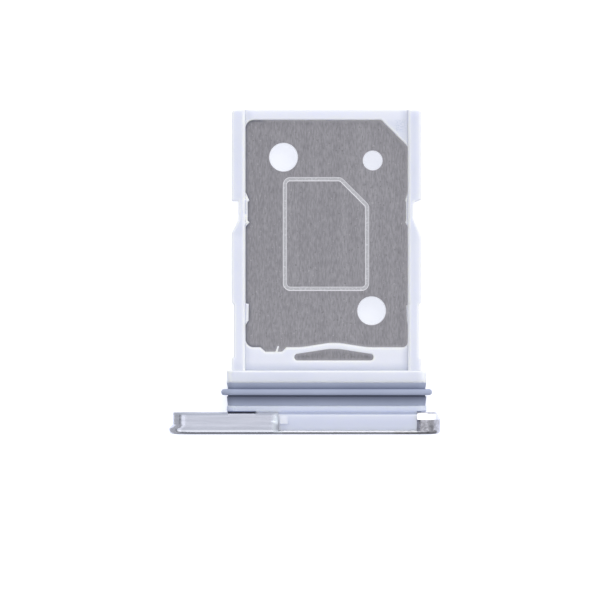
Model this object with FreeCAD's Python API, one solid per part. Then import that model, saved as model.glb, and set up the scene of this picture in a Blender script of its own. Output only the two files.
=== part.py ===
import FreeCAD
import Part
import math
import os

# Two-sided nano card tray of a phone: a moulded carrier round a steel divider, a rubber seal and a metal cap.
# Millimetres. The tray lies flat: +Z is up, +Y points to the deep end that enters the phone first, and the
# origin is under the middle of the whole part. Tray pieces are drawn about the tray's own centre line and
# mid plane.

# The card that each side holds
card_width = 8.80
card_length = 12.30
card_thickness = 0.67
card_side_play = 0.035
card_end_play = 0.14
card_top_play = 0.03

# Depths along Y, in order from the front face of the cap to the deep end
cap_depth = 1.21
cap_gap = 0.03
flange_depth = 0.34
seal_depth = 1.25
collar_depth = 0.67
platform_depth = 1.28
end_bar_depth = 0.58

# Steel divider
plate_thickness = 0.15
plate_hold = 0.20
plate_anchor = 1.60
plate_corner_radius = 0.20
big_hole_diameter = 1.55
big_hole_from_axis = 2.36
big_hole_from_end = 2.02
small_hole_diameter = 1.06
small_hole_from_axis = 2.53
small_hole_from_end = 2.20
near_hole_from_axis = 2.47
near_hole_from_front = 2.00
hole_break = 0.03
mark_width = 4.75
mark_length = 6.25
mark_cut_corner = 1.53
mark_corner_radius = 0.42
mark_line = 0.24
mark_depth = 0.02
mark_slope = 0.05
mark_from_axis = -0.03
mark_from_front = 3.08

# Rails and pocket
rail_width = 0.765
ledge_drop = 0.20
wall_draft = 0.03
brim_break = 0.10
edge_break = 0.05
ledge_break = 0.04
cut_corner = 1.45
cut_corner_radius = 0.12
back_corner_radius = 0.44
front_left_radius = 0.43
front_right_radius = 0.28
outer_corner_radius = 0.22
outline_radius = 0.06

# Side notches that let the rails flex, their slopes, and the shallow relief beside the collar
notch_back = 8.00
notch_radius = 0.12
left_notch_depth = 0.38
left_notch_flat = 1.00
left_notch_slope = 0.76
right_notch_depth = 0.43
right_notch_flat = 0.94
right_notch_slope = 0.98
right_notch_slant = 0.16
right_notch_crown = 0.80
relief_depth = 0.13
relief_back = 2.48
relief_slope = 0.18
relief_front = 0.58

# Pads on the pocket's side walls, from the pocket's front edge, and how far they stand in
grip_back = 8.50
grip_front = 6.60
left_grip_rise = 0.12
left_grip_tip_rise = 0.21
right_grip_rise = 0.09
right_grip_tip_rise = 0.13
grip_tip = 0.10
grip_ramp = 0.24
grip_back_ramp = 0.46
low_pad_back_left = 2.40
low_pad_back_right = 2.31
low_pad_front = 1.22
low_pad_rise_left = 0.18
low_pad_rise_right = 0.07
low_pad_taper = 0.02
low_pad_step = 0.03
pad_lead_in = 0.12

# Finger notch, springy strip that holds the card by its end, and the slot behind the strip
finger_notch_depth = 0.24
finger_notch_left = 3.62
finger_notch_right = 2.20
finger_notch_slope = 0.25
gate_nib_width = 0.15
gate_nib_length = 0.45
gate_nib_lean = 0.17
gate_nib_tip = 0.08
gate_nib_radius = 0.03
gate_nib_from_edge = 0.26
strip_from_axis = 0.40
strip_span = 3.60
strip_crown = 0.56
strip_crown_round = 2.60
strip_rise = 0.24
strip_round = 5.00
strip_thickness = 0.34
slot_length = 4.33
slot_end_width = 0.34
slot_front = 0.73

# Collar, flange and the seal between them
collar_width = 10.94
collar_height = 1.72
collar_radius = 0.45
flange_width = 10.95
flange_height = 1.76
seal_band = 0.25
seal_dip = 0.06
lip_rise = 0.31
lip_thickness = 0.33
lip_corner = 0.15
lip_back = 0.35
lip_groove_width = 0.07
lip_groove_depth = 0.06
seal_taper = 0.05

# Neck and foot that join the carrier to the cap
neck_left = 3.86
neck_height = 1.74
web_height = 0.60
web_from_flange_edge = 0.03
web_beyond_neck = 0.24
foot_inset = 0.08
foot_drop = 0.08
foot_fall = 0.15
foot_crown = 0.04
foot_edge = 0.06
clip_width = 0.47
clip_length = 0.43
clip_inset = 0.08
clip_rise = 0.04
clip_from_back = 0.22

# Face cap
cap_width = 14.90
cap_height = 2.36
cap_edge_radius = 0.24
rim_depth = 0.34
rim_slope = 0.20
rim_drop = 0.02
block_inset = 0.21
left_block = 6.00
left_bevel_depth = 0.08
left_bevel = 0.14
left_end_round = 0.46
left_end_fall = 0.14
left_end_turn = 0.20
left_end_rest = 0.1
right_block = 1.30
right_bevel_depth = 0.40
right_bevel = 0.22
right_end_bevel = 0.20
front_wall = 0.20
tongue_height = 0.70
tongue_depth = 0.55
tongue_hole_diameter = 0.30
tongue_hole_count = 4
tray_offset = 1.20
pin_hole_diameter = 1.18
pin_hole_lead_in = 0.18

# Worked out from the sizes above
pocket_half = card_width / 2 + card_side_play
pocket_length = card_length + card_end_play
pocket_depth = card_thickness + card_top_play
tray_half = pocket_half + rail_width
plate_top = plate_thickness / 2
rail_top = plate_top + pocket_depth
ledge_top = rail_top - ledge_drop
total_depth = (
    cap_depth + cap_gap + flange_depth + seal_depth + collar_depth
    + platform_depth + pocket_length + end_bar_depth
)
front_y = -total_depth / 2
cap_back_y = front_y + cap_depth
flange_front_y = cap_back_y + cap_gap
flange_back_y = flange_front_y + flange_depth
collar_front_y = flange_back_y + seal_depth
collar_back_y = collar_front_y + collar_depth
pocket_front_y = collar_back_y + platform_depth
pocket_back_y = pocket_front_y + pocket_length
tray_back_y = pocket_back_y + end_bar_depth
mid_z = cap_height / 2
cap_half = cap_width / 2
foot_left_x = left_block - cap_half
foot_right_x = cap_half - right_block
block_front_y = front_y + rim_depth + rim_slope
foot_back_y = cap_back_y - foot_inset
reach = 1.0
tolerance = 1e-6
cut_corner_growth = 2 - math.sqrt(2)


def flat(a, b):
    """A point of a drawing in the plane of the tray."""
    return FreeCAD.Vector(a, b, 0)


def upright(a, b):
    """A point of a drawing seen from the front, across and up."""
    return FreeCAD.Vector(a, 0, b)


def sideways(a, b):
    """A point of a drawing seen from the side, along Y and up."""
    return FreeCAD.Vector(0, a, b)


def rounded_loop(corners, plane=flat):
    """A closed outline through corners (a, b, radius), with each corner rounded by its own radius."""
    ends = []
    for i, (a, b, radius) in enumerate(corners):
        here = plane(a, b)
        if radius == 0:
            ends.append((here, None, here))
            continue
        before = corners[i - 1]
        after = corners[(i + 1) % len(corners)]
        back = (plane(before[0], before[1]) - here).normalize()
        ahead = (plane(after[0], after[1]) - here).normalize()
        half = back.getAngle(ahead) / 2
        run = radius / math.tan(half)
        inward = (back + ahead).normalize()
        middle = here + inward * (radius / math.sin(half) - radius)
        ends.append((here + back * run, middle, here + ahead * run))
    edges = []
    for i, (start, middle, end) in enumerate(ends):
        if middle is not None:
            edges.append(Part.Arc(start, middle, end).toShape())
        following = ends[(i + 1) % len(ends)][0]
        if end.distanceToPoint(following) > tolerance:
            edges.append(Part.LineSegment(end, following).toShape())
    return Part.Wire(edges)


def raised(wire, height):
    """The same outline lifted to a height."""
    copy = wire.copy()
    copy.translate(FreeCAD.Vector(0, 0, height))
    return copy


def prism(wire, low, high):
    """A flat outline made solid between two heights."""
    return Part.Face(raised(wire, low)).extrude(FreeCAD.Vector(0, 0, high - low))


def bar(wire, near, far):
    """An upright outline made solid between two places along Y."""
    face = Part.Face(wire)
    face.translate(FreeCAD.Vector(0, near, 0))
    return face.extrude(FreeCAD.Vector(0, far - near, 0))


def block(low, high):
    """A box from its lowest to its highest corner."""
    size = [high[i] - low[i] for i in range(3)]
    return Part.makeBox(size[0], size[1], size[2], FreeCAD.Vector(*low))


def turned_over(shape):
    """The same shape for the tray's other side, turned half round its long centre line."""
    copy = shape.copy()
    copy.rotate(FreeCAD.Vector(0, 0, 0), FreeCAD.Vector(0, 1, 0), 180)
    return copy


def both_sides(shape):
    return [shape, turned_over(shape)]


def broken(shape, size, chosen):
    """The shape with a small bevel on each edge whose box chosen() picks."""
    return shape.makeChamfer(size, [edge for edge in shape.Edges if chosen(edge.BoundBox)])


def at_height(box, height):
    """True for an edge that lies wholly at this height, or as far below the mid plane."""
    return abs(abs(box.ZMin) - height) < tolerance and abs(abs(box.ZMax) - height) < tolerance


def side_outline(notch_depth, flat, slope, crown, slant):
    """One side of the tray's outline, from the collar to the deep end, drawn on the right."""
    notch_y = pocket_front_y + notch_back
    return [
        (tray_half, collar_back_y - collar_depth / 2, 0),
        (tray_half, pocket_front_y - relief_front, outline_radius),
        (tray_half - relief_depth, pocket_front_y - relief_front, outline_radius),
        (tray_half - relief_depth, pocket_front_y + relief_back - relief_slope, outline_radius),
        (tray_half, pocket_front_y + relief_back, outline_radius),
        (tray_half, notch_y - flat - slope, crown),
        (tray_half - notch_depth, notch_y - flat, notch_radius),
        (tray_half - notch_depth, notch_y - slant / 2, outline_radius),
        (tray_half, notch_y + slant / 2, outline_radius),
        (tray_half, tray_back_y, outer_corner_radius),
    ]


def tray_outline():
    """The outside of rails, end bar and platform, notched and relieved along both sides."""
    right = side_outline(
        right_notch_depth, right_notch_flat, right_notch_slope, right_notch_crown, right_notch_slant
    )
    left = side_outline(left_notch_depth, left_notch_flat, left_notch_slope, notch_radius, 0)
    return rounded_loop(right + [(-a, b, radius) for a, b, radius in left[::-1]])


def side_pads(side, low_rise, low_back, grip_rise, tip_rise, grow):
    """The pocket's side wall from front to back, with its low pad and its grip pad.

    grow widens the pocket.
    """
    wall = pocket_half + grow
    profile = [
        (low_pad_front, 0),
        (low_pad_front + grip_ramp, low_rise - low_pad_taper),
        (low_back - low_pad_step, low_rise),
        (low_back, 0),
        (grip_front, 0),
        (grip_front + grip_ramp, tip_rise),
        (grip_front + grip_ramp + grip_tip, grip_rise),
        (grip_back - grip_back_ramp - grip_tip, grip_rise),
        (grip_back - grip_back_ramp, tip_rise),
        (grip_back, 0),
    ]
    return [(side * (wall - rise), pocket_front_y + along, 0) for along, rise in profile]


def pocket_outline(grow):
    """The card pocket's outline, with a finger notch and the strip's bulge in its front edge.

    grow moves every wall outwards.
    """
    wall = pocket_half + grow
    front = pocket_front_y - grow
    back = pocket_back_y + grow
    leg = cut_corner + grow * cut_corner_growth
    notch = front - finger_notch_depth
    corners = [
        (-wall, front, front_left_radius + grow),
        (-finger_notch_left, front, 0),
        (-finger_notch_left + finger_notch_slope, notch, 0),
        (-finger_notch_right - finger_notch_slope, notch, 0),
        (-finger_notch_right, front, 0),
        (strip_from_axis - strip_span / 2, front, strip_round),
        (strip_from_axis - strip_crown / 2, front + strip_rise, strip_crown_round),
        (strip_from_axis + strip_crown / 2, front + strip_rise, strip_crown_round),
        (strip_from_axis + strip_span / 2, front, strip_round),
        (wall, front, front_right_radius + grow),
    ]
    corners += side_pads(
        1, low_pad_rise_right, low_pad_back_right, right_grip_rise, right_grip_tip_rise, grow
    )
    corners += [
        (wall, back - leg, cut_corner_radius + grow),
        (wall - leg, back, cut_corner_radius + grow),
        (-wall, back, back_corner_radius + grow),
    ]
    left_pads = side_pads(
        -1, low_pad_rise_left, low_pad_back_left, left_grip_rise, left_grip_tip_rise, grow
    )
    corners += left_pads[::-1]
    return rounded_loop(corners)


def frustum(low_wire, low, high_wire, high):
    """The solid between two outlines at two heights."""
    return Part.makeLoft([raised(low_wire, low), raised(high_wire, high)], True, True)


def pocket_cutter():
    """What one card pocket takes out of the blank: drafted walls with a broken top edge."""
    brim = pocket_outline(wall_draft)
    flare = pocket_outline(wall_draft + brim_break)
    walls = frustum(pocket_outline(0), plate_top, brim, rail_top)
    edge = frustum(brim, rail_top - brim_break, flare, rail_top)
    lid = prism(flare, rail_top, rail_top + reach)
    return walls.fuse([edge, lid])


def ledge_edge_cutter():
    """What breaks the pocket's edge along the end bar, the cut corner and the platform, below the rails."""
    grown = wall_draft * (ledge_top - plate_top) / pocket_depth
    flare = frustum(
        pocket_outline(grown), ledge_top - ledge_break, pocket_outline(grown + ledge_break), ledge_top
    )
    lid = prism(pocket_outline(grown + ledge_break), ledge_top, ledge_top + ledge_break)
    half = pocket_half + grown
    far_start = pocket_back_y - cut_corner - cut_corner_radius
    near_end = pocket_front_y + low_pad_front / 2
    far_room = block((-half, far_start, plate_top), (half, tray_back_y, rail_top))
    near_room = block((-half, collar_back_y, plate_top), (half, near_end, rail_top))
    return flare.fuse(lid).common(far_room.fuse(near_room))


def channel_cutter():
    """What lowers the end bar and the platform between the two rails."""
    share = (ledge_top - plate_top) / pocket_depth
    low = pocket_half + wall_draft * share
    high = pocket_half + wall_draft
    flare = high + brim_break
    corners = [
        (-low, ledge_top, 0),
        (low, ledge_top, 0),
        (high, rail_top - brim_break, 0),
        (flare, rail_top, 0),
        (flare, rail_top + reach, 0),
        (-flare, rail_top + reach, 0),
        (-flare, rail_top, 0),
        (-high, rail_top - brim_break, 0),
    ]
    return bar(rounded_loop(corners, upright), collar_back_y, tray_back_y + reach)


def pad_lead_cutter():
    """What slopes the tops of the grip pads and low pads, so that the card slides in between them."""
    grown = wall_draft * (pocket_depth - pad_lead_in) / pocket_depth
    flare = frustum(
        pocket_outline(grown), rail_top - pad_lead_in, pocket_outline(grown + pad_lead_in), rail_top
    )
    rooms = []
    for near, far in [(low_pad_front, low_pad_back_left), (grip_front, grip_back)]:
        near_y = pocket_front_y + near
        far_y = pocket_front_y + far
        rooms.append(block((-tray_half, near_y, plate_top), (tray_half, far_y, rail_top)))
    return flare.common(rooms[0].fuse(rooms[1]))


def slot_outline(grow):
    """The bowed slot's outline. grow moves it outwards all round."""
    end_radius = slot_end_width / 2 + grow
    left = strip_from_axis - slot_length / 2 - grow
    right = strip_from_axis + slot_length / 2 + grow
    low = pocket_front_y - slot_front - grow
    shoulder = low + 2 * end_radius
    crown = pocket_front_y + strip_rise - strip_thickness + grow
    corners = [
        (left, low, end_radius),
        (right, low, end_radius),
        (right, shoulder, end_radius),
        (strip_from_axis + strip_crown / 2, crown, strip_crown_round),
        (strip_from_axis - strip_crown / 2, crown, strip_crown_round),
        (left, shoulder, end_radius),
    ]
    return rounded_loop(corners)


def strip_slot():
    """The slot behind the strip, cut down to the divider, with a broken top edge."""
    plain = slot_outline(0)
    flare = slot_outline(ledge_break)
    edge = frustum(plain, ledge_top - ledge_break, flare, ledge_top)
    return prism(plain, plate_top, ledge_top).fuse([edge, prism(flare, ledge_top, ledge_top + reach)])


def gate_nib():
    """The little slanted stub that the mould leaves at the finger notch."""
    corners = [
        (0, 0, 0),
        (gate_nib_width, 0, 0),
        (gate_nib_lean + gate_nib_tip, gate_nib_length, gate_nib_radius),
        (gate_nib_lean, gate_nib_length, gate_nib_radius),
    ]
    nib = prism(rounded_loop(corners), plate_top, ledge_top)
    start_x = -finger_notch_right - finger_notch_slope - gate_nib_from_edge - gate_nib_width
    start_y = pocket_front_y - finger_notch_depth - gate_nib_width
    nib.translate(FreeCAD.Vector(start_x, start_y, 0))
    return nib


def rounded_bar(width, height, radius, near, far):
    """A bar along Y with a rounded rectangular section about the tray's centre line."""
    a = width / 2
    b = height / 2
    corners = [(-a, -b, radius), (a, -b, radius), (a, b, radius), (-a, b, radius)]
    return bar(rounded_loop(corners, upright), near, far)


def plate_slab():
    """The divider before its holes are cut."""
    half = pocket_half + plate_hold
    corners = [
        (-half, pocket_front_y - plate_anchor, plate_corner_radius),
        (half, pocket_front_y - plate_anchor, plate_corner_radius),
        (half, pocket_back_y + plate_hold, plate_corner_radius),
        (-half, pocket_back_y + plate_hold, plate_corner_radius),
    ]
    return prism(rounded_loop(corners), -plate_top, plate_top)


def round_hole(diameter, x, y):
    """A cutter for a round hole through the divider, with broken edges."""
    start = FreeCAD.Vector(x, y, -plate_thickness)
    radius = diameter / 2
    wide = radius + hole_break
    hole = Part.makeCylinder(radius, 2 * plate_thickness, start)
    upper = Part.makeCone(radius, wide, hole_break, FreeCAD.Vector(x, y, plate_top - hole_break))
    lower = Part.makeCone(wide, radius, hole_break, FreeCAD.Vector(x, y, -plate_top))
    return hole.fuse([upper, lower])


def mark_outline(inset):
    """The outline of the card sign that is etched on the divider, or the same line further in."""
    left = mark_from_axis - mark_width / 2 + inset
    right = mark_from_axis + mark_width / 2 - inset
    front = pocket_front_y + mark_from_front + inset
    back = pocket_front_y + mark_from_front + mark_length - inset
    leg = mark_cut_corner - inset * cut_corner_growth
    radius = mark_corner_radius - inset
    corners = [
        (left, front, radius),
        (right, front, radius),
        (right, back - leg, radius),
        (right - leg, back, radius),
        (left, back, radius),
    ]
    return rounded_loop(corners)


def make_divider_plate():
    """The steel sheet between the two cards: three locating holes and the etched card sign on its top."""
    holes = [
        round_hole(big_hole_diameter, -big_hole_from_axis, pocket_back_y - big_hole_from_end),
        round_hole(small_hole_diameter, small_hole_from_axis, pocket_back_y - small_hole_from_end),
        round_hole(big_hole_diameter, near_hole_from_axis, pocket_front_y + near_hole_from_front),
    ]
    floor_z = plate_top - mark_depth
    etched = frustum(mark_outline(mark_slope), floor_z, mark_outline(0), plate_top)
    kept = frustum(mark_outline(mark_line - mark_slope), floor_z, mark_outline(mark_line), plate_top)
    return plate_slab().cut(holes + [etched.cut(kept)])


def seal_core_radius():
    return collar_radius - seal_band


def carrier_collar():
    """Collar, seal core, flange and neck in a row, the stem to the foot, and the web beside the neck."""
    core_width = collar_width - 2 * seal_band
    core_height = collar_height - 2 * seal_band
    collar = rounded_bar(collar_width, collar_height, collar_radius, collar_front_y, collar_back_y)
    collar = broken(collar, edge_break, lambda box: box.YMin > collar_back_y - edge_break / 2)
    core = rounded_bar(core_width, core_height, seal_core_radius(), flange_back_y, collar_front_y)
    flange = rounded_bar(flange_width, flange_height, collar_radius, flange_front_y, flange_back_y)
    flange = broken(flange, edge_break, lambda box: box.YMax - box.YMin < edge_break / 2)
    neck_right = foot_right_x - tray_offset
    neck = block(
        (-neck_left, cap_back_y, -neck_height / 2),
        (neck_right, flange_front_y + edge_break, neck_height / 2),
    )
    stem = block(
        (foot_left_x - tray_offset, foot_back_y, -neck_height / 2),
        (neck_right, cap_back_y, neck_height / 2),
    )
    web = block(
        (web_from_flange_edge - flange_width / 2, cap_back_y, -web_height / 2),
        (neck_right + web_beyond_neck, flange_front_y, web_height / 2),
    )
    return collar.fuse([core, flange, neck, stem, web])


def foot():
    """The foot that fills the cap's middle and falls to its front, with its clip pads, less the tongue."""
    left = foot_left_x - tray_offset
    right = foot_right_x - tray_offset
    top = mid_z - foot_drop
    wall_y = front_y + front_wall
    middle_y = (wall_y + foot_back_y) / 2
    shape = []
    for side in (1, -1):
        near = sideways(wall_y, side * (top - foot_fall))
        centre = sideways(middle_y, side * (top - foot_fall / 2 + foot_crown))
        far = sideways(foot_back_y - foot_edge, side * top)
        shape.append((near, centre, far))
    far_low = sideways(foot_back_y, shape[1][2].z + foot_edge)
    far_high = sideways(foot_back_y, shape[0][2].z - foot_edge)
    edges = [
        Part.Arc(*shape[0]).toShape(),
        Part.LineSegment(shape[0][2], far_high).toShape(),
        Part.LineSegment(far_high, far_low).toShape(),
        Part.LineSegment(far_low, shape[1][2]).toShape(),
        Part.Arc(*shape[1][::-1]).toShape(),
        Part.LineSegment(shape[1][0], shape[0][0]).toShape(),
    ]
    face = Part.Face(Part.Wire(edges))
    face.translate(FreeCAD.Vector(left, 0, 0))
    body = face.extrude(FreeCAD.Vector(right - left, 0, 0))
    clip_y = cap_back_y - clip_from_back - clip_length
    clip = block(
        (left + clip_inset, clip_y, -top - clip_rise),
        (left + clip_inset + clip_width, clip_y + clip_length, top + clip_rise),
    )
    tongue = cap_tongue()
    tongue.translate(FreeCAD.Vector(-tray_offset, 0, 0))
    return body.fuse(clip).cut(tongue)


def make_carrier():
    """The moulded frame, built as a blank that is pocketed from both sides and cut free of the divider."""
    body = prism(tray_outline(), -rail_top, rail_top)
    body = broken(body, edge_break, lambda box: at_height(box, rail_top))
    cutters = []
    for cutter in (pocket_cutter(), channel_cutter(), ledge_edge_cutter(), pad_lead_cutter()):
        cutters += both_sides(cutter)
    body = body.cut(cutters)
    body = body.fuse(both_sides(gate_nib()) + [carrier_collar(), foot()])
    body = body.cut(both_sides(strip_slot()) + [plate_slab()])
    return body.removeSplitter()


def seal_section(core_bottom):
    """The ring's section under the middle of the core, drawn downwards from the core's underside."""
    tip = core_bottom - seal_band - lip_rise
    band = core_bottom - seal_band
    lip_far_y = collar_front_y - lip_back
    lip_near_y = lip_far_y - lip_thickness
    corners = [
        (collar_front_y, core_bottom, 0),
        (collar_front_y, band, 0),
        (lip_far_y, band + seal_dip, 0),
        (lip_far_y, tip, lip_corner),
        (lip_near_y, tip, lip_corner),
        (lip_near_y, band + lip_groove_depth, 0),
        (lip_near_y - lip_groove_width, band + lip_groove_depth, 0),
        (lip_near_y - lip_groove_width, band, 0),
        (flange_back_y, band + seal_taper, 0),
        (flange_back_y, core_bottom, 0),
    ]
    return rounded_loop(corners, sideways)


def make_seal_ring():
    """The rubber ring: a band flush with the collar, and a lip with a groove at its root to fold into."""
    a = collar_width / 2 - seal_band
    b = collar_height / 2 - seal_band
    radius = seal_core_radius()
    corners = [(0, -b, 0), (a, -b, radius), (a, b, radius), (-a, b, radius), (-a, -b, radius)]
    return rounded_loop(corners, upright).makePipeShell([seal_section(-b)], True, False)


def pill(inset_left, inset_right, drop, y):
    """The cap's outline seen from the front: straight top and bottom, full round ends."""
    radius = cap_height / 2 - drop
    left = -cap_half + inset_left + radius
    right = cap_half - inset_right - radius
    edges = [
        Part.LineSegment(upright(left, -radius), upright(right, -radius)).toShape(),
        Part.Arc(upright(right, -radius), upright(right + radius, 0), upright(right, radius)).toShape(),
        Part.LineSegment(upright(right, radius), upright(left, radius)).toShape(),
        Part.Arc(upright(left, radius), upright(left - radius, 0), upright(left, -radius)).toShape(),
    ]
    wire = Part.Wire(edges)
    wire.translate(FreeCAD.Vector(0, y, 0))
    return wire


def cap_tongue():
    """The holed tongue inside the cap, which the foot is moulded on."""
    near = front_y + front_wall
    tongue = block(
        (foot_left_x, near, -tongue_height / 2),
        (foot_right_x, near + tongue_depth, tongue_height / 2),
    )
    spacing = (foot_right_x - foot_left_x) / tongue_hole_count
    holes = []
    for i in range(tongue_hole_count):
        start = FreeCAD.Vector(foot_left_x + spacing * (i + 0.5), near + tongue_depth / 2, -tongue_height)
        holes.append(Part.makeCylinder(tongue_hole_diameter / 2, 2 * tongue_height, start))
    return tongue.cut(holes)


def cap_block(left_x, right_x, bevel_depth, bevel):
    """One of the two blocks behind the rim, bevelled along its back edge."""
    front_face = pill(block_inset, 0, 0, block_front_y)
    bevel_y = cap_back_y - bevel_depth
    straight = Part.Face(front_face).extrude(FreeCAD.Vector(0, bevel_y - block_front_y, 0))
    back_face = pill(block_inset, bevel, bevel, cap_back_y)
    back = Part.makeLoft([pill(block_inset, 0, 0, bevel_y), back_face], True, True)
    room = block((left_x, front_y, -cap_height), (right_x, cap_back_y, cap_height))
    return straight.fuse(back).common(room)


def left_end_section(run, fall, y):
    """The rounding of the left block's end, seen from the front: an arc to the foot, and room over it."""
    start_x = foot_left_x - run
    radius = (run ** 2 + fall ** 2) / (2 * fall)
    half_x = run / 2
    half_fall = radius - math.sqrt(radius ** 2 - half_x ** 2)
    start = upright(start_x, mid_z)
    end = upright(foot_left_x, mid_z - fall)
    lid_start = upright(start_x, mid_z + reach)
    lid_end = upright(foot_left_x, mid_z + reach)
    edges = [
        Part.Arc(start, upright(start_x + half_x, mid_z - half_fall), end).toShape(),
        Part.LineSegment(end, lid_end).toShape(),
        Part.LineSegment(lid_end, lid_start).toShape(),
        Part.LineSegment(lid_start, start).toShape(),
    ]
    wire = Part.Wire(edges)
    wire.translate(FreeCAD.Vector(0, y, 0))
    return wire


def left_end_cutter():
    """What rounds off the left block where it falls to the foot, and dies out towards the block's front."""
    turn_y = block_front_y + left_end_turn
    full = left_end_section(left_end_round, left_end_fall, turn_y)
    faint = left_end_section(left_end_round * left_end_rest, left_end_fall * left_end_rest, block_front_y)
    straight = Part.Face(full).extrude(FreeCAD.Vector(0, cap_back_y - turn_y, 0))
    return straight.fuse(Part.makeLoft([faint, full], True, True))


def right_end_cutter():
    """What bevels the right block where it meets the foot, as far back as the bevel of its back edge."""
    corners = [
        (foot_right_x, mid_z - right_end_bevel, 0),
        (foot_right_x + right_end_bevel, mid_z, 0),
        (foot_right_x + right_end_bevel, mid_z + reach, 0),
        (foot_right_x, mid_z + reach, 0),
    ]
    return bar(rounded_loop(corners, upright), front_y + front_wall, cap_back_y - right_bevel_depth)


def over_and_under(shape):
    """The same shape over and under the cap's mid plane."""
    return [shape, shape.mirror(FreeCAD.Vector(0, 0, 0), FreeCAD.Vector(0, 0, 1))]


def make_face_cap():
    """The metal cap: a rounded rim, a block at each end of the foot's bay, and the eject pin's hole."""
    rim = Part.Face(pill(0, 0, rim_drop, front_y)).extrude(FreeCAD.Vector(0, rim_depth, 0))
    front_edges = [e for e in rim.Edges if e.BoundBox.YMax < front_y + rim_depth / 2]
    rim = rim.makeFillet(cap_edge_radius, front_edges)
    slope = Part.makeLoft(
        [pill(0, 0, rim_drop, front_y + rim_depth), pill(block_inset, 0, 0, block_front_y)], True, True
    )
    left = cap_block(-cap_width, foot_left_x, left_bevel_depth, left_bevel)
    left = left.cut(over_and_under(left_end_cutter()))
    right = cap_block(foot_right_x, cap_width, right_bevel_depth, right_bevel)
    bay = block(
        (foot_left_x, front_y + front_wall, -cap_height), (foot_right_x, cap_back_y, cap_height)
    )
    shell = rim.fuse([slope, left, right]).cut([bay] + over_and_under(right_end_cutter())).fuse(cap_tongue())
    hole_x = -cap_half + cap_height / 2
    along = FreeCAD.Vector(0, 1, 0)
    radius = pin_hole_diameter / 2
    hole = Part.makeCylinder(radius, cap_depth + 2 * reach, FreeCAD.Vector(hole_x, front_y - reach, 0), along)
    lead_in = Part.makeCone(
        radius + pin_hole_lead_in, radius, pin_hole_lead_in, FreeCAD.Vector(hole_x, front_y, 0), along
    )
    return shell.cut([hole, lead_in]).removeSplitter()


def write(name, shape, shift_x):
    """Moves a piece from the tray's or cap's centre line to its place and writes it."""
    placed = shape.copy()
    placed.translate(FreeCAD.Vector(shift_x, 0, mid_z))
    placed.exportStep("parts/" + name + ".step")
    print(name, len(placed.Solids), round(placed.Volume, 4), placed.isValid(), placed.BoundBox)


os.makedirs("parts", exist_ok=True)
write("carrier", make_carrier(), tray_offset)
write("divider_plate", make_divider_plate(), tray_offset)
write("seal_ring", make_seal_ring(), tray_offset)
write("face_cap", make_face_cap(), 0)
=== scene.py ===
import bpy
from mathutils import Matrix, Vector


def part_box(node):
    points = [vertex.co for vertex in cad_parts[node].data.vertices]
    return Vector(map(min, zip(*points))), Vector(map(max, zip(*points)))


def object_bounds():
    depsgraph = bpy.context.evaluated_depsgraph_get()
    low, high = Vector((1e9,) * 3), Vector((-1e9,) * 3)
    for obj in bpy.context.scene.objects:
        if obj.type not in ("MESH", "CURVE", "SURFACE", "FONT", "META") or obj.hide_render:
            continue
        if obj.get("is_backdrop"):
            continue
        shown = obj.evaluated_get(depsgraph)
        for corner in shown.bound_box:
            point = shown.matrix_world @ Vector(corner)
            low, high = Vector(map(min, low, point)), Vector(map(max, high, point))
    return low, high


# Studio picture of a two-sided card tray, seen flat from straight above.
# Metres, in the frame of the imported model.

MM = 0.001

# How a screen shows a colour
screen_top = 255
screen_gamma = 2.2

# Sockets of the node that mixes two colours
mix_first = 6
mix_second = 7
mix_result = 2

# Camera: the tray lies flat and is seen from straight above through a long lens
view_width = 33.52 * MM
view_centre = (0.016 * MM, -1.81 * MM)
camera_height = 0.60
camera_near = 0.01
sensor_width = 36.0

# Floor and background: glow and tone are what is seen, the bounce is what the floor gives back to the part
white = (1, 1, 1, 1)
floor_half = 0.40
floor_glow = (0.665, 0.685, 0.76, 1)
floor_tone = (0.70, 0.70, 0.70, 1)
floor_bounce = (0.85, 0.85, 0.86, 1)

# Light: one wide bank behind and to the right, in even light from all round
world_level = 0.74
world_tint = (0.95, 0.97, 1.0, 1)
key_power = 1.35
key_size = (0.80, 0.50)
key_place = (0.16, 0.30, 0.29)

# Cards that only reflections see: dark ones draw the dark lines on the metal, a bright one its left edge
card_distance = 0.15
card_dark = 0.12
card_shade = 0.35
card_grey = 0.60
card_bright = 1.45
front_dark_span = (0.0, 0.095)
front_bright_span = (0.120, 0.260)
left_dark_span = (0.006, 0.038)
left_bright_span = (0.052, 0.125)
right_grey_span = (0.021, 0.110)
right_grey_end = 0.03
front_roof_span = (-0.22, -0.10)
roof_height = 0.30
floor_card_gap = 0.001
floor_card_lift = 0.0002

# Widths over which a colour fades into the next, from a line's edge to a soft shade
fade_line = 0.01 * MM
fade_sharp = 0.02 * MM
fade_firm = 0.03 * MM
fade_clip = 0.04 * MM
fade_flange = 0.05 * MM
fade_spot = 0.08 * MM
fade_soft = 0.10 * MM
fade_pale = 0.12 * MM
fade_sheen = 0.14 * MM
fade_plate = 0.20 * MM

# Places on the plastic, as spans along X and Y in millimetres. The lit parts carry painted light, each by
# its share:
# the bar at the back, the low half of the left rail, the outer side of the right rail, the strip behind the
# slot with what lies round it, and the clip on the foot. The others are the painted glints on the grip
# pads, a mottled spot and the part of the flange that is kept free of the painted shade.
clip_span = ((-1.36, -0.97), (-8.29, -7.80))
lit_parts = [
    (((-2.90, 5.30), (8.30, 8.95)), 0.70),
    (((-4.20, -3.30), (-5.00, 2.00)), 0.40),
    (((6.15, 6.60), (-5.50, 8.95)), 0.75),
    (((-3.10, 5.40), (-5.10, -3.90)), 0.75),
    (clip_span, 0.45),
]
pad_glint_spans = [((-3.38, -3.02), (3.95, 4.40)), ((-3.32, -3.02), (2.60, 3.20))]
mottled_span = ((4.95, 5.66), (7.70, 8.30))
lit_flange_span = ((-2.65, -1.30), (-7.72, -7.50))
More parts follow.
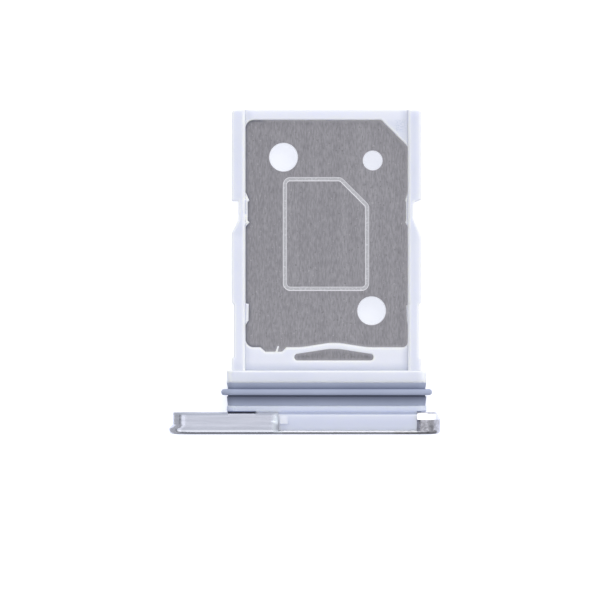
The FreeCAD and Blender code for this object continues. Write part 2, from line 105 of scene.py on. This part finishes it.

# The painted shade of the seam between flange and foot, and where the foot's painted shade starts and is
# full, from the cap's back
seam_reach = 0.13 * MM
foot_shade_start = 0.10 * MM
foot_shade_full = 0.45 * MM

# Where the cap's long block stands free of the flange, and how far the painted shade of the gap reaches
# into its edge
free_block_start = -4.20 * MM
free_block_end = -2.65 * MM
gap_reach = 0.06 * MM

# Places on the long block, in millimetres: its right end with a painted sheen and that end's corner with
# painted shade, the line of painted shade along its back edge and the band of painted shade along its front
sheen_end_span = ((-1.70, -1.30), (-8.75, -7.83))
shaded_corner_span = ((-1.66, -1.30), (-8.75, -8.30))
back_shade_span = ((-7.20, -1.30), (-7.83, -7.60))
front_shade_span = ((-7.00, -1.42), (-8.61, -8.47))
front_shade_share = 0.30

# Painted highlight lines behind the front rim, each with its share of brightness: two along the foot and
# one along the long block
rim_highlight_lines = [
    (((-1.42, 6.15), (-8.82, -8.75)), 0.45),
    (((-1.42, 6.15), (-8.73, -8.67)), 0.70),
    (((-7.00, -1.42), (-8.73, -8.67)), 0.30),
]

# The end of the cap that was cut bright: where it starts, where it turns away, and how deep its bevel is,
# which carries a painted highlight
bright_end = 4.90 * MM
bright_end_far = 7.15 * MM
bright_bevel = 0.08 * MM

# The sign etched on the divider, the plate's left side with painted shade, and the seal's flank with its
# lip's painted shadow
mark_depth = 0.02 * MM
mark_fade = mark_depth / 10
plate_left_width = 1.20 * MM
lip_shadow_reach = 0.57 * MM

# Noises: how each is squeezed along X, Y and Z, how fine it is, and how many finer layers it has
plastic_cloud = ((1, 1, 1), 260, 2)
plastic_chips = ((1, 1, 1), 12000, 1)
plastic_grain = ((1, 1, 1), 16000, 2)
steel_streaks = ((4.5, 1, 1), 3000, 4)
steel_specks = ((1.6, 1, 1), 7000, 1)
steel_bands = ((1, 0.05, 1), 1500, 2)
sign_pits = ((1, 1, 1), 9000, 2)
rubber_cloud = ((1, 1, 1), 500, 2)
rubber_grain = ((1, 1, 1), 9000, 2)
metal_lines = ((0.06, 1, 0.06), 9000, 3)
metal_blotches = ((1, 1, 1), 5000, 3)
metal_grain = ((1, 1, 1), 14000, 2)

# Where masks start and where they are full, as values of a noise
cloud_range = (0.30, 0.70)
streak_range = (0.35, 0.65)
mottle_range = (0.48, 0.62)
glint_range = (0.46, 0.54)
speck_range = (0.36, 0.22)
spark_range = (0.70, 0.84)
pit_range = (0.50, 0.70)

# The same, as parts of a normal: how far up, back or to the front it points, and how far it agrees with the
# face's own
slope_range = (0.97, 0.80)
upward_range = (0.15, 0.45)
front_range = (-0.975, -0.995)
bevel_low_range = (0.20, 0.35)
bevel_high_range = (0.85, 0.70)
lit_range = (-0.30, -0.05)
edge_highlight_range = (0.995, 0.93)
rim_range = (1.0, 0.84)

# Recesses: how near other surfaces count, and the openness at which the painted shade starts and is full
plastic_nooks = (0.50 * MM, 0.96, 0.50)
flange_recesses = (0.70 * MM, 0.88, 0.35)
steel_nooks = (0.20 * MM, 0.95, 0.35)
rubber_recesses = (0.60 * MM, 0.90, 0.20)

# Radii at which edges are rounded or get a painted highlight, and how finely that and the recesses are
# sampled
plastic_rounding = 0.03 * MM
metal_rounding = 0.05 * MM
plastic_rim_width = 0.26 * MM
sign_highlight_radius = 0.06 * MM
rubber_highlight_radius = 0.04 * MM
rounding_samples = 4
wear_samples = 6
recess_samples = 8

# Surfaces
plastic_roughness = 0.42
plastic_scatter = (0.30 * MM, 0.30 * MM, 0.35 * MM)
plastic_scatter_share = 0.8
steel_roughness = 0.36
rubber_roughness = 0.55
metal_roughness = 0.22
metal_share = 0.9
soft_grain_depth = 0.004 * MM
hard_grain_depth = 0.003 * MM


def linear(r, g, b):
    """A colour given as it looks on screen, 0 to 255, as a linear shader colour."""
    return tuple((channel / screen_top) ** screen_gamma for channel in (r, g, b)) + (1.0,)


# Colours as they look on screen
plastic_low = linear(220, 223, 236)
plastic_high = linear(227, 229, 240)
plastic_slope_light = linear(239, 241, 251)
plastic_highlight = linear(254, 254, 255)
plastic_lit = linear(235, 236, 246)
plastic_nook_shade = linear(190, 195, 211)
plastic_scuff = linear(204, 210, 227)
plastic_recess_shade = linear(158, 168, 200)
plastic_front = linear(218, 224, 246)
plastic_foot_shade = linear(214, 218, 235)
plastic_seam_shade = linear(190, 196, 217)
plastic_gap_shade = linear(24, 26, 34)
steel_low = linear(127, 126, 132)
steel_high = linear(144, 143, 149)
steel_band_low = linear(133, 132, 138)
steel_band_high = linear(151, 150, 156)
steel_speck = linear(118, 117, 122)
steel_spark = linear(174, 173, 178)
steel_shade = linear(108, 111, 122)
steel_lit = linear(172, 171, 176)
sign_highlight = linear(218, 217, 222)
sign_middle = linear(178, 177, 182)
sign_spark = linear(204, 203, 208)
rubber_low = linear(156, 164, 188)
rubber_high = linear(163, 171, 195)
rubber_highlight = linear(182, 190, 213)
rubber_lip_shadow = linear(70, 78, 104)
rubber_recess_shade = linear(84, 92, 118)
metal_low = linear(190, 193, 207)
metal_high = linear(200, 203, 217)
rim_highlight = linear(250, 252, 255)
face_satin = linear(232, 237, 252)
end_low = linear(142, 142, 150)
end_high = linear(190, 190, 200)
end_bevel_highlight = linear(250, 250, 252)
end_far_highlight = linear(200, 202, 213)
metal_gap_shade = linear(48, 48, 56)
block_lit = linear(219, 226, 234)
block_back_shade = linear(174, 178, 192)
block_shade = linear(166, 170, 182)


def empty_material(name):
    """A material with no nodes."""
    material = bpy.data.materials.new(name)
    material.use_nodes = True
    material.node_tree.nodes.clear()
    return material, material.node_tree


def new_material(name):
    """A material with its Principled shader."""
    material = bpy.data.materials.new(name)
    material.use_nodes = True
    return material, material.node_tree, material.node_tree.nodes["Principled BSDF"]


def node(tree, kind, **values):
    """Adds a shader node and sets its properties, or its input sockets where the name is one."""
    made = tree.nodes.new(kind)
    for name, value in values.items():
        if hasattr(made, name):
            setattr(made, name, value)
        else:
            made.inputs[name.replace("_", " ")].default_value = value
    return made


def stretched_noise(tree, stretch, scale, detail):
    """Noise in the object's own space, squeezed by a factor along each axis."""
    place = node(tree, "ShaderNodeTexCoord")
    mapping = node(tree, "ShaderNodeMapping", Scale=stretch)
    noise = node(tree, "ShaderNodeTexNoise", Scale=scale, Detail=detail)
    tree.links.new(place.outputs["Object"], mapping.inputs["Vector"])
    tree.links.new(mapping.outputs["Vector"], noise.inputs["Vector"])
    return noise.outputs["Fac"]


def blend_colours(tree, factor, low, high, start, end):
    """A colour that runs from low to high as the factor goes from start to end."""
    ramp = node(tree, "ShaderNodeValToRGB")
    for element, place, colour in zip(ramp.color_ramp.elements, (start, end), (low, high)):
        element.position = place
        element.color = colour
    tree.links.new(factor, ramp.inputs["Fac"])
    return ramp.outputs["Color"]


def graded(tree, value, start, end):
    """Runs from 0 to 1 as a value goes from start to end."""
    ramp = node(tree, "ShaderNodeMapRange", From_Min=start, From_Max=end)
    tree.links.new(value, ramp.inputs["Value"])
    return ramp.outputs["Result"]


def opposite(tree, value):
    """What is left of a value up to 1."""
    return graded(tree, value, 1, 0)


def times(tree, *values):
    """The product of two or more values. The later ones may be plain numbers."""
    result = values[0]
    for value in values[1:]:
        product = node(tree, "ShaderNodeMath", operation="MULTIPLY")
        tree.links.new(result, product.inputs[0])
        if isinstance(value, float):
            product.inputs[1].default_value = value
        else:
            tree.links.new(value, product.inputs[1])
        result = product.outputs["Value"]
    return result


def mixed(tree, factor, first, second):
    """A colour that goes from first to second as the factor goes from 0 to 1."""
    mix = node(tree, "ShaderNodeMix", data_type="RGBA")
    tree.links.new(factor, mix.inputs["Factor"])
    tree.links.new(first, mix.inputs[mix_first])
    if isinstance(second, tuple):
        mix.inputs[mix_second].default_value = second
    else:
        tree.links.new(second, mix.inputs[mix_second])
    return mix.outputs[mix_result]


def along(tree, source, axis):
    """One coordinate of the object's own place or normal."""
    place = node(tree, "ShaderNodeTexCoord")
    parts = node(tree, "ShaderNodeSeparateXYZ")
    tree.links.new(place.outputs[source], parts.inputs["Vector"])
    return parts.outputs[axis]


def under(tree, axis, level, fade):
    """1 where the object's own coordinate is under a level, 0 over it."""
    return graded(tree, along(tree, "Object", axis), level + fade, level - fade)


def over(tree, axis, level, fade):
    """1 where the object's own coordinate is over a level, 0 under it."""
    return opposite(tree, under(tree, axis, level, fade))


def within(tree, spans, fade):
    """1 inside a rectangle that is given in millimetres by its spans along X and Y."""
    (left, right), (front, back) = spans
    across = times(tree, under(tree, "X", right * MM, fade), over(tree, "X", left * MM, fade))
    deep = times(tree, under(tree, "Y", back * MM, fade), over(tree, "Y", front * MM, fade))
    return times(tree, across, deep)


def sloping(tree):
    """1 on bevels and drafted walls, 0 on what lies flat."""
    return graded(tree, along(tree, "Normal", "Z"), *slope_range)


def recesses(tree, distance, start, end):
    """1 in corners and under overhangs that lie within a distance of other surfaces, 0 in the open."""
    cover = node(tree, "ShaderNodeAmbientOcclusion", samples=recess_samples, Distance=distance)
    return graded(tree, cover.outputs["AO"], start, end)


def rounded_normal(tree, radius):
    """The normal rounded at edges within a radius, and how far it agrees with the face's own."""
    bevel = node(tree, "ShaderNodeBevel", samples=wear_samples, Radius=radius)
    own = node(tree, "ShaderNodeNewGeometry")
    turned = node(tree, "ShaderNodeVectorMath", operation="DOT_PRODUCT")
    tree.links.new(bevel.outputs["Normal"], turned.inputs[0])
    tree.links.new(own.outputs["Normal"], turned.inputs[1])
    return bevel.outputs["Normal"], turned.outputs["Value"]


def highlighted_edges(tree, radius):
    """1 along edges, within a radius, where the rounded normal leaves the face's own."""
    return graded(tree, rounded_normal(tree, radius)[1], *edge_highlight_range)


def lit_edges(tree, radius):
    """1 along the edges that get the painted highlight: all but those that face the front."""
    normal, turned = rounded_normal(tree, radius)
    parts = node(tree, "ShaderNodeSeparateXYZ")
    tree.links.new(normal, parts.inputs["Vector"])
    sideways = node(tree, "ShaderNodeMath", operation="ABSOLUTE")
    tree.links.new(parts.outputs["X"], sideways.inputs[0])
    facing = node(tree, "ShaderNodeMath", operation="ADD")
    tree.links.new(parts.outputs["Y"], facing.inputs[0])
    tree.links.new(sideways.outputs["Value"], facing.inputs[1])
    return times(tree, graded(tree, turned, *rim_range), graded(tree, facing.outputs["Value"], *lit_range))


def finish_surface(tree, shader, colour, roughness, grain, depth, rounding=None):
    """Gives the shader its colour, roughness and fine grain, and rounds its edges if a radius is given."""
    tree.links.new(colour, shader.inputs["Base Color"])
    shader.inputs["Roughness"].default_value = roughness
    bump = node(tree, "ShaderNodeBump", Distance=depth, Strength=1.0)
    tree.links.new(grain, bump.inputs["Height"])
    if rounding:
        bevel = node(tree, "ShaderNodeBevel", samples=rounding_samples, Radius=rounding)
        tree.links.new(bevel.outputs["Normal"], bump.inputs["Normal"])
    tree.links.new(bump.outputs["Normal"], shader.inputs["Normal"])


def tray_colour(tree, behind):
    """The plastic behind the seal: painted light on some parts and on bevels, painted shade in nooks, a
    mottled spot, painted highlights on edges and on the grip pads.
    """
    flat = opposite(tree, sloping(tree))
    cloud = stretched_noise(tree, *plastic_cloud)
    colour = blend_colours(tree, cloud, plastic_low, plastic_high, *cloud_range)
    # painted light: bevels and drafted walls behind the seal are lightened
    colour = mixed(tree, times(tree, sloping(tree), behind), colour, plastic_slope_light)
    # painted light: the lit parts are lightened by their share
    for spans, share in lit_parts:
        colour = mixed(tree, times(tree, within(tree, spans, fade_pale), share), colour, plastic_lit)
    # painted shade in the nooks of the flat plastic
    nook = times(tree, recesses(tree, *plastic_nooks), flat, behind)
    colour = mixed(tree, nook, colour, plastic_nook_shade)
    chips = stretched_noise(tree, *plastic_chips)
    mottle = times(tree, within(tree, mottled_span, fade_spot), graded(tree, chips, *mottle_range), flat)
    colour = mixed(tree, mottle, colour, plastic_scuff)
    # painted highlight along the edges that face back or sideways
    edge_light = times(tree, lit_edges(tree, plastic_rim_width), opposite(tree, nook), behind)
    colour = mixed(tree, edge_light, colour, plastic_highlight)
    # painted glints on the grip pads
    for spans in pad_glint_spans:
        glint = times(tree, within(tree, spans, fade_sharp), graded(tree, chips, *glint_range))
        colour = mixed(tree, glint, colour, plastic_highlight)
    return colour


def foot_colour(tree, colour, front):
    """The plastic in front of the seal: flange, foot and clip, with painted shade on the foot, in the
    recesses, in the seam and in the gap behind the long block.
    """
    cap_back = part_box("face_cap")[1].y
    past_foot = over(tree, "Y", cap_back - seam_reach, fade_sharp)
    flange = times(tree, front, past_foot)
    colour = mixed(tree, flange, colour, plastic_front)
    # painted shade on the foot, darker towards the front
    depth = along(tree, "Object", "Y")
    lower_shade = graded(tree, depth, cap_back - foot_shade_start, cap_back - foot_shade_full)
    clip = within(tree, clip_span, fade_clip)
    colour = mixed(tree, times(tree, lower_shade, opposite(tree, clip)), colour, plastic_foot_shade)
    # painted shade in the flange's recesses, except where it is kept free
    unlit = opposite(tree, within(tree, lit_flange_span, fade_flange))
    shade = times(tree, recesses(tree, *flange_recesses), flange, unlit)
    colour = mixed(tree, shade, colour, plastic_recess_shade)
    # painted shade in the seam between flange and foot
    seam = times(tree, under(tree, "Y", cap_back + fade_sharp, fade_sharp), past_foot)
    colour = mixed(tree, seam, colour, plastic_seam_shade)
    # painted shade in the gap behind the long block
    left = under(tree, "X", free_block_end, fade_soft)
    gap = times(tree, under(tree, "Y", cap_back + fade_line, fade_line), left)
    return mixed(tree, gap, colour, plastic_gap_shade)


def moulded_plastic():
    """Satin plastic that lets a little light in, for the whole carrier."""
    material, tree, shader = new_material("moulded_plastic")
    front = under(tree, "Y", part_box("seal_ring")[1].y, fade_soft)
    colour = foot_colour(tree, tray_colour(tree, opposite(tree, front)), front)
    shader.inputs["Subsurface Weight"].default_value = plastic_scatter_share
    shader.inputs["Subsurface Radius"].default_value = plastic_scatter
    shader.inputs["Subsurface Scale"].default_value = 1.0
    grain = stretched_noise(tree, *plastic_grain)
    finish_surface(tree, shader, colour, plastic_roughness, grain, soft_grain_depth, plastic_rounding)
    return material


def brushed_steel(top):
    """Rolled sheet with its grain along Y, painted shade by the left walls and painted light by the others,
    and the etched sign as a matt line, paler than the sheet, with painted highlights on its walls and
    edges.
    """
    material, tree, shader = new_material("brushed_steel")
    streaks = stretched_noise(tree, *steel_streaks)
    specks = stretched_noise(tree, *steel_specks)
    back_shade = blend_colours(tree, streaks, steel_low, steel_high, *streak_range)
    bright = blend_colours(tree, streaks, steel_band_low, steel_band_high, *streak_range)
    bands = graded(tree, stretched_noise(tree, *steel_bands), *streak_range)
    colour = mixed(tree, bands, back_shade, bright)
    colour = mixed(tree, graded(tree, specks, *speck_range), colour, steel_speck)
    colour = mixed(tree, graded(tree, specks, *spark_range), colour, steel_spark)
    # painted shade by the plate's left walls, painted light by the walls elsewhere
    left = under(tree, "X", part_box("divider_plate")[0].x + plate_left_width, fade_plate)
    nook = recesses(tree, *steel_nooks)
    colour = mixed(tree, times(tree, nook, left), colour, steel_shade)
    colour = mixed(tree, times(tree, nook, opposite(tree, left)), colour, steel_lit)
    etched = under(tree, "Z", top - 2 * mark_fade, mark_fade)
    bottom = under(tree, "Z", top - mark_depth + mark_fade, mark_fade)
    # painted highlight on the sign's sloped walls; the matt line itself is the etched finish
    colour = mixed(tree, etched, colour, sign_highlight)
    colour = mixed(tree, bottom, colour, sign_middle)
    pits = graded(tree, stretched_noise(tree, *sign_pits), *pit_range)
    colour = mixed(tree, times(tree, bottom, pits), colour, sign_spark)
    # painted highlight along the edges of the sign's floor
    colour = mixed(tree, times(tree, bottom, highlighted_edges(tree, sign_highlight_radius)), colour, sign_highlight)
    tree.links.new(opposite(tree, etched), shader.inputs["Metallic"])
    finish_surface(tree, shader, colour, steel_roughness, streaks, hard_grain_depth)
    return material


def seal_rubber():
    """Soft rubber with painted highlights on its edges, painted shade in its recesses and the lip's painted
    shadow on the flank in front of it.
    """
    material, tree, shader = new_material("seal_rubber")
    cloud = stretched_noise(tree, *rubber_cloud)
    colour = blend_colours(tree, cloud, rubber_low, rubber_high, *cloud_range)
    # painted highlight along the rubber's edges
    colour = mixed(tree, highlighted_edges(tree, rubber_highlight_radius), colour, rubber_highlight)
    # painted shade in the rubber's recesses
    colour = mixed(tree, recesses(tree, *rubber_recesses), colour, rubber_recess_shade)
    # painted shadow of the lip on the flank in front of it
    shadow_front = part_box("seal_ring")[0].y
    shadow_back = shadow_front + lip_shadow_reach
    fading = graded(tree, along(tree, "Object", "Y"), shadow_front, shadow_back)
    lip_shadow = times(tree, fading, under(tree, "Y", shadow_back, fade_line))
    colour = mixed(tree, lip_shadow, colour, rubber_lip_shadow)
    grain = stretched_noise(tree, *rubber_grain)
    finish_surface(tree, shader, colour, rubber_roughness, grain, soft_grain_depth)
    return material


def bright_end_colour(tree, colour, upward, tilt, cap_back):
    """The speckled end of the cap that was cut bright, and its bevel with a painted highlight, less bright
    where the bevel turns away.
    """
    end = times(tree, upward, over(tree, "X", bright_end, fade_sharp))
    blotches = stretched_noise(tree, *metal_blotches)
    colour = mixed(tree, end, colour, blend_colours(tree, blotches, end_low, end_high, *cloud_range))
    # painted highlight on the end's bevel, less bright where it turns away
    bevel = times(tree, graded(tree, tilt, *bevel_low_range), graded(tree, tilt, *bevel_high_range))
    cut = times(tree, bevel, under(tree, "Y", cap_back - bright_bevel, fade_sharp))
    colour = mixed(tree, times(tree, end, cut), colour, end_bevel_highlight)
    far = times(tree, end, over(tree, "X", bright_end_far, fade_spot))
    return mixed(tree, times(tree, far, cut), colour, end_far_highlight)


def anodised_metal():
    """The cap's metal: satin on its front face, on its back edge with painted shade and on its long block's
    right end with a painted sheen; painted highlights line its rim and painted shade lies in the gap, along
    the front and in the end's corner.
    """
    material, tree, shader = new_material("anodised_metal")
    cap_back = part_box("face_cap")[1].y
    upward = graded(tree, along(tree, "Normal", "Z"), *upward_range)
    tilt = along(tree, "Normal", "Y")
    lines = stretched_noise(tree, *metal_lines)
    colour = blend_colours(tree, lines, metal_low, metal_high, *cloud_range)
    colour = bright_end_colour(tree, colour, upward, tilt, cap_back)
    free_end = under(tree, "X", free_block_end, fade_soft)
    free = times(tree, free_end, over(tree, "X", free_block_start, fade_sharp))
    # painted shade along the block's back edge, which is left satin
    back_shade = times(tree, within(tree, back_shade_span, fade_firm), upward, opposite(tree, free))
    colour = mixed(tree, back_shade, colour, block_back_shade)
    # painted shade where the gap's dark reaches into the block's edge
    gap = times(tree, free, over(tree, "Y", cap_back - gap_reach, fade_line), upward)
    colour = mixed(tree, gap, colour, metal_gap_shade)
    # painted highlight lines behind the front rim
    for spans, share in rim_highlight_lines:
        colour = mixed(tree, times(tree, within(tree, spans, fade_line), share), colour, rim_highlight)
    # painted shade along the block's front
    front_shade = times(tree, within(tree, front_shade_span, fade_firm), front_shade_share)
    colour = mixed(tree, front_shade, colour, block_shade)
    # painted sheen on the long block's right end, which is left satin
    end_sheen = times(tree, within(tree, sheen_end_span, fade_sheen), upward)
    colour = mixed(tree, end_sheen, colour, block_lit)
    # painted shade in that end's corner
    corner = times(tree, within(tree, shaded_corner_span, fade_sheen), end_sheen)
    colour = mixed(tree, corner, colour, block_shade)
    face = graded(tree, tilt, *front_range)
    colour = mixed(tree, face, colour, face_satin)
    bare = times(tree, opposite(tree, face), opposite(tree, end_sheen), opposite(tree, back_shade), metal_share)
    tree.links.new(bare, shader.inputs["Metallic"])
    grain = stretched_noise(tree, *metal_grain)
    finish_surface(tree, shader, colour, metal_roughness, grain, hard_grain_depth, metal_rounding)
    return material


def dress(frame):
    """Gives each piece of the model its material."""
    finishes = {
        "carrier": moulded_plastic(),
        "divider_plate": brushed_steel(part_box("divider_plate")[1].z),
        "seal_ring": seal_rubber(),
        "face_cap": anodised_metal(),
    }
    for name, material in finishes.items():
        piece = frame["nodes"][name]
        piece.data.materials.clear()
        piece.data.materials.append(material)


def mix_when_seen(tree, lighting, shown, out_kind):
    """One shader for what lights the part, another where it is seen itself, straight or reflected."""
    rays = node(tree, "ShaderNodeLightPath")
    seen = rays.outputs["Is Camera Ray"]
    for kind in ("Is Glossy Ray", "Is Transmission Ray"):
        either = node(tree, "ShaderNodeMath", operation="MAXIMUM")
        tree.links.new(seen, either.inputs[0])
        tree.links.new(rays.outputs[kind], either.inputs[1])
        seen = either.outputs[0]
    mix = node(tree, "ShaderNodeMixShader")
    out = node(tree, out_kind)
    tree.links.new(seen, mix.inputs["Fac"])
    tree.links.new(lighting, mix.inputs[1])
    tree.links.new(shown, mix.inputs[2])
    tree.links.new(mix.outputs[0], out.inputs["Surface"])


def make_floor():
    """A plain white floor under the part. Some of its white is its own, so the shadow stays faint."""
    bpy.ops.mesh.primitive_plane_add(size=2 * floor_half)
    floor = bpy.context.object
    floor.name = "floor"
    material, tree = empty_material("floor")
    diffuse = node(tree, "ShaderNodeBsdfDiffuse", Color=floor_tone)
    glow = node(tree, "ShaderNodeEmission", Color=floor_glow, Strength=1.0)
    both = node(tree, "ShaderNodeAddShader")
    plain = node(tree, "ShaderNodeBsdfDiffuse", Color=floor_bounce)
    tree.links.new(diffuse.outputs[0], both.inputs[0])
    tree.links.new(glow.outputs[0], both.inputs[1])
    mix_when_seen(tree, plain.outputs[0], both.outputs[0], "ShaderNodeOutputMaterial")
    floor.data.materials.append(material)
    floor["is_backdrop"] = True


def make_world():
    """Even light from all round, and white where the background is seen or reflected."""
    world = bpy.data.worlds.new("studio")
    bpy.context.scene.world = world
    world.use_nodes = True
    tree = world.node_tree
    tree.nodes.clear()
    lit = node(tree, "ShaderNodeBackground", Color=world_tint, Strength=world_level)
    shown = node(tree, "ShaderNodeBackground", Color=white, Strength=1.0)
    mix_when_seen(tree, lit.outputs[0], shown.outputs[0], "ShaderNodeOutputWorld")


def reflection_card(name, level, corners):
    """A flat card of one grey level that shows in reflections and nowhere else."""
    mesh = bpy.data.meshes.new(name)
    mesh.from_pydata(corners, [], [(0, 1, 2, 3)])
    card = bpy.data.objects.new(name, mesh)
    bpy.context.scene.collection.objects.link(card)
    material, tree = empty_material(name)
    shade = node(tree, "ShaderNodeEmission", Color=white, Strength=level)
    out = node(tree, "ShaderNodeOutputMaterial")
    tree.links.new(shade.outputs[0], out.inputs["Surface"])
    mesh.materials.append(material)
    card.visible_camera = False
    card.visible_diffuse = False
    card.visible_shadow = False
    card.visible_transmission = False
    card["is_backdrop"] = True


def upright_card(name, level, start, end, span):
    """A card that stands on the line between two places on the floor, over a span of heights."""
    low, high = span
    reflection_card(name, level, [start + (low,), end + (low,), end + (high,), start + (high,)])


def level_card(name, level, low, high, height):
    """A card that lies level at a height, from one corner to the other."""
    corners = [(low[0], low[1]), (high[0], low[1]), (high[0], high[1]), (low[0], high[1])]
    reflection_card(name, level, [corner + (height,) for corner in corners])


def make_cards():
    """The cards round the part, each named by its side and its grey."""
    far = card_distance
    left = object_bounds()[0].x - floor_card_gap
    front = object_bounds()[0].y - floor_card_gap
    upright_card("front_dark_card", card_dark, (-far, -far), (far, -far), front_dark_span)
    upright_card("front_bright_card", card_bright, (-far, -far), (far, -far), front_bright_span)
    upright_card("left_dark_card", card_dark, (-far, -far), (-far, far), left_dark_span)
    upright_card("left_bright_card", card_bright, (-far, -far), (-far, far), left_bright_span)
    upright_card("right_grey_card", card_grey, (far, -far), (far, right_grey_end), right_grey_span)
    level_card("left_floor_card", card_grey, (-far, -far), (left, far), floor_card_lift)
    level_card("front_floor_card", card_shade, (left, -far), (far, front), floor_card_lift)
    near, past = front_roof_span
    level_card("front_roof_card", card_bright, (-far, near), (far, past), roof_height)


def area_light(name, place, size, power):
    """A soft light bank that faces the part."""
    data = bpy.data.lights.new(name, "AREA")
    data.shape = "RECTANGLE"
    data.size, data.size_y = size
    data.energy = power
    light = bpy.data.objects.new(name, data)
    light.location = place
    towards = Vector((0, 0, 0)) - Vector(place)
    light.rotation_euler = towards.to_track_quat("-Z", "Y").to_euler()
    bpy.context.scene.collection.objects.link(light)


def make_camera():
    """A long lens straight above the part."""
    data = bpy.data.cameras.new("camera")
    data.sensor_width = sensor_width
    data.lens = sensor_width * camera_height / view_width
    data.clip_start = camera_near
    camera = bpy.data.objects.new("camera", data)
    camera.location = view_centre + (camera_height,)
    bpy.context.scene.collection.objects.link(camera)
    bpy.context.scene.camera = camera


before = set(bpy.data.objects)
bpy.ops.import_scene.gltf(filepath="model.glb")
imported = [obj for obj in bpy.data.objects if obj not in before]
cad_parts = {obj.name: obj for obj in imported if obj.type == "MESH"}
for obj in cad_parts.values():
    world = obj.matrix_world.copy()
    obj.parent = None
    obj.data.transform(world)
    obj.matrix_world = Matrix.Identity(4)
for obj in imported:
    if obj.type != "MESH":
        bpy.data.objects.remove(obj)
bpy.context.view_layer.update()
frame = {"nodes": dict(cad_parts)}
make_camera()
make_world()
make_floor()
area_light("key_light", key_place, key_size, key_power)
dress(frame)
make_cards()
bpy.context.scene.view_settings.view_transform = "Standard"
